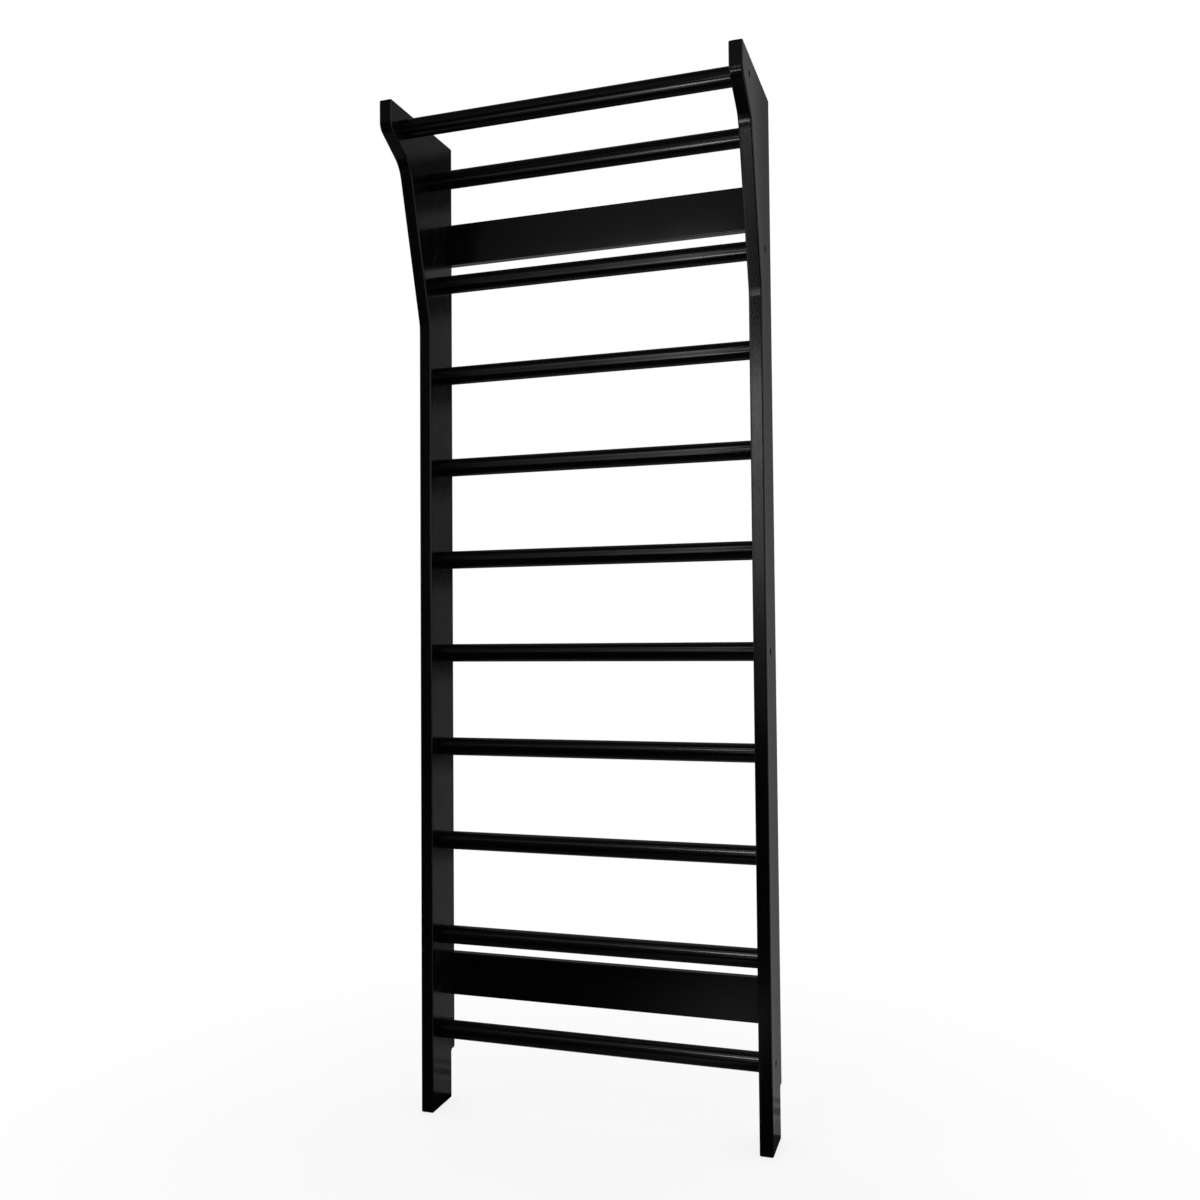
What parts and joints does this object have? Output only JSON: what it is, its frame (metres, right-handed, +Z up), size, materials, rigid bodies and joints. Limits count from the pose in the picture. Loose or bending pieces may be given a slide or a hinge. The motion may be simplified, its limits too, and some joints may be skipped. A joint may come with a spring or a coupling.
{
  "type": "wall bars",
  "caption": "Black-lacquered wooden wall bars: flat uprights with forward-reaching heads carry round rungs, and flat rails at the back screw to a wall.",
  "frame": {"origin": "middle of the part's footprint box, on the floor", "axes": "+Z up along the uprights, +Y out of the back towards the wall, -Y towards the climber, +X to the right as seen from the front"},
  "size_m": [0.742, 0.282, 2.0938],
  "materials": {
    "black_lacquer": "satin black lacquer on birch, faint grain",
    "bolt_steel": "black oxide socket-head bolt",
    "insert_steel": "zinc-plated threaded insert",
    "dowel_wood": "bare beech"
  },
  "bodies": {
    "root": {"left_upright": "black_lacquer", "right_upright": "black_lacquer", "rung_1": "black_lacquer", "rung_2": "black_lacquer", "rung_3": "black_lacquer", "rung_4": "black_lacquer", "rung_5": "black_lacquer", "rung_6": "black_lacquer", "rung_7": "black_lacquer", "rung_8": "black_lacquer", "rung_9": "black_lacquer", "high_rung": "black_lacquer", "pull_up_bar": "black_lacquer", "lower_rail": "black_lacquer", "upper_rail": "black_lacquer", "left_bolt_rung_1": "bolt_steel", "left_bolt_rung_5": "bolt_steel", "left_bolt_rung_9": "bolt_steel", "left_bolt_pull_up_bar": "bolt_steel", "right_bolt_rung_1": "bolt_steel", "right_bolt_rung_5": "bolt_steel", "right_bolt_rung_9": "bolt_steel", "right_bolt_pull_up_bar": "bolt_steel", "left_insert_rung_1": "insert_steel", "left_insert_rung_5": "insert_steel", "left_insert_rung_9": "insert_steel", "left_insert_pull_up_bar": "insert_steel", "right_insert_rung_1": "insert_steel", "right_insert_rung_5": "insert_steel", "right_insert_rung_9": "insert_steel", "right_insert_pull_up_bar": "insert_steel", "left_dowel_lower_rail_low": "dowel_wood", "left_dowel_lower_rail_high": "dowel_wood", "left_dowel_upper_rail_low": "dowel_wood", "left_dowel_upper_rail_high": "dowel_wood", "right_dowel_lower_rail_low": "dowel_wood", "right_dowel_lower_rail_high": "dowel_wood", "right_dowel_upper_rail_low": "dowel_wood", "right_dowel_upper_rail_high": "dowel_wood"}
  },
  "joints": []
}
